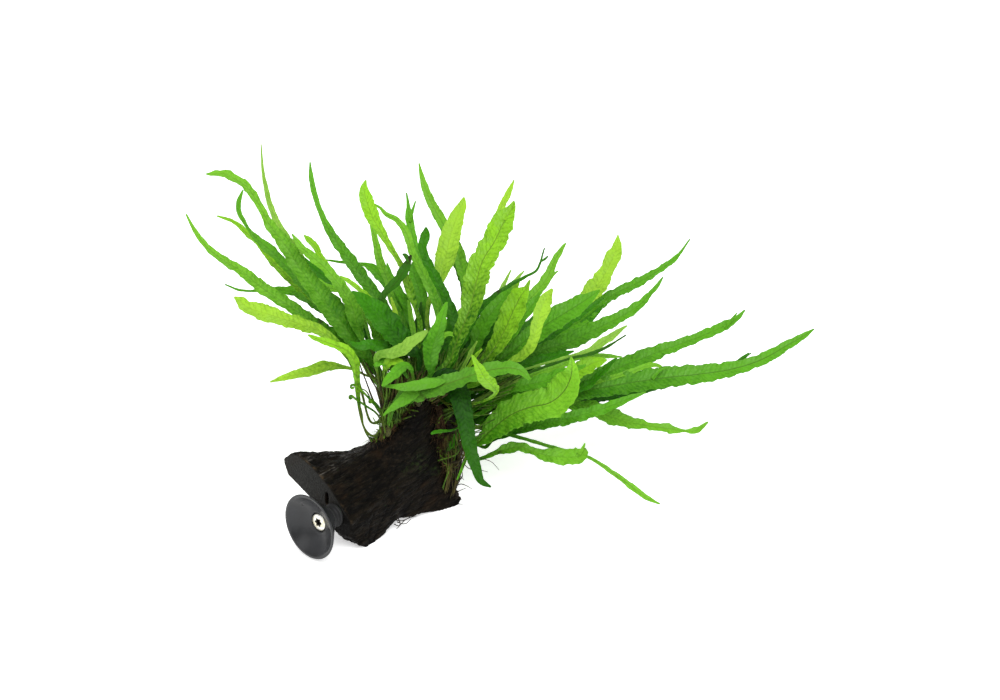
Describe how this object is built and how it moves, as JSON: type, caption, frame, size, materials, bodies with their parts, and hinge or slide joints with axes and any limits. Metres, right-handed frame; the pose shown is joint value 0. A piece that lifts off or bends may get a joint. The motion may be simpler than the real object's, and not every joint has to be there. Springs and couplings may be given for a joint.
{
  "type": "java fern on driftwood",
  "caption": "Bushy aquarium fern with long strap fronds rooted on a dark driftwood block, with a screwed-on suction cup.",
  "frame": {"origin": "on the driftwood's flat underside, where it rests, near the underside's middle", "axes": "-Z out of the underside, -X the way the suction cup faces, out of the wood's sawn end"},
  "size_m": [0.3184, 0.298, 0.1724],
  "materials": {
    "driftwood": "dark water-logged wood, furrowed, with a greyer sawn end",
    "cup_rubber": "smooth black rubber with a soft shine",
    "screw_steel": "pale plated steel",
    "rhizome": "brown-green scaly stem",
    "roots": "matted brown hair roots",
    "leaf_dark": "dark green leaf, satin",
    "leaf_green": "mid green leaf, satin",
    "leaf_bright": "bright green leaf, satin",
    "leaf_yellow": "yellow-green young leaf, satin"
  },
  "bodies": {
    "root": {"driftwood": "driftwood", "suction_cup": "cup_rubber", "screw": "screw_steel", "rhizome_left": "rhizome", "rhizome_top": "rhizome", "rhizome_crown": "rhizome", "rhizome_right": "rhizome", "roots_left": "roots", "roots_right": "roots", "fiddlehead": "leaf_bright", "frond_left_front_long": "leaf_green", "frond_left_arch": "leaf_bright", "frond_left_yellow_broad": "leaf_yellow", "frond_left_pale_finger": "leaf_bright", "frond_left_droop": "leaf_bright", "frond_left_low_long": "leaf_green", "frond_left_hooked": "leaf_dark", "frond_left_yellow_thin": "leaf_bright", "frond_left_straight": "leaf_green", "frond_left_curled_tip": "leaf_dark", "frond_left_tall": "leaf_green", "frond_top_hanging": "leaf_dark", "frond_top_short_low": "leaf_bright", "frond_top_short_bright": "leaf_bright", "frond_top_dark_crossing": "leaf_dark", "frond_top_paddle": "leaf_yellow", "frond_top_grey_broad": "leaf_green", "frond_top_big_blistered": "leaf_bright", "frond_top_dark_broad": "leaf_dark", "frond_top_yellow_spoon": "leaf_yellow", "frond_top_low_left": "leaf_green", "frond_top_thin_arch": "leaf_bright", "frond_top_dark_wavy": "leaf_dark", "frond_top_long_dark": "leaf_dark", "frond_top_hidden_green": "leaf_green", "frond_top_dark_spike": "leaf_dark", "frond_top_narrow": "leaf_green", "frond_top_tall_middle": "leaf_green", "frond_top_behind_big": "leaf_bright", "frond_top_thin_tail": "leaf_green", "frond_crown_small_bright": "leaf_yellow", "frond_crown_folded_bright": "leaf_bright", "frond_crown_wide_bright": "leaf_bright", "frond_crown_grey_green": "leaf_green", "frond_crown_broad": "leaf_green", "frond_crown_forked": "leaf_dark", "frond_crown_long_upper": "leaf_green", "frond_crown_sharp": "leaf_green", "frond_crown_bright_paddle": "leaf_bright", "frond_crown_long_top": "leaf_green", "frond_right_torn": "leaf_green", "frond_right_big_bright": "leaf_bright", "frond_right_trailing": "leaf_green", "frond_right_wavy": "leaf_green", "frond_right_pale_tip": "leaf_yellow", "frond_right_low_plain": "leaf_green", "frond_right_longest": "leaf_dark", "frond_right_twisted": "leaf_green", "frond_right_under_longest": "leaf_dark", "frond_right_upper_long": "leaf_green"}
  },
  "joints": []
}
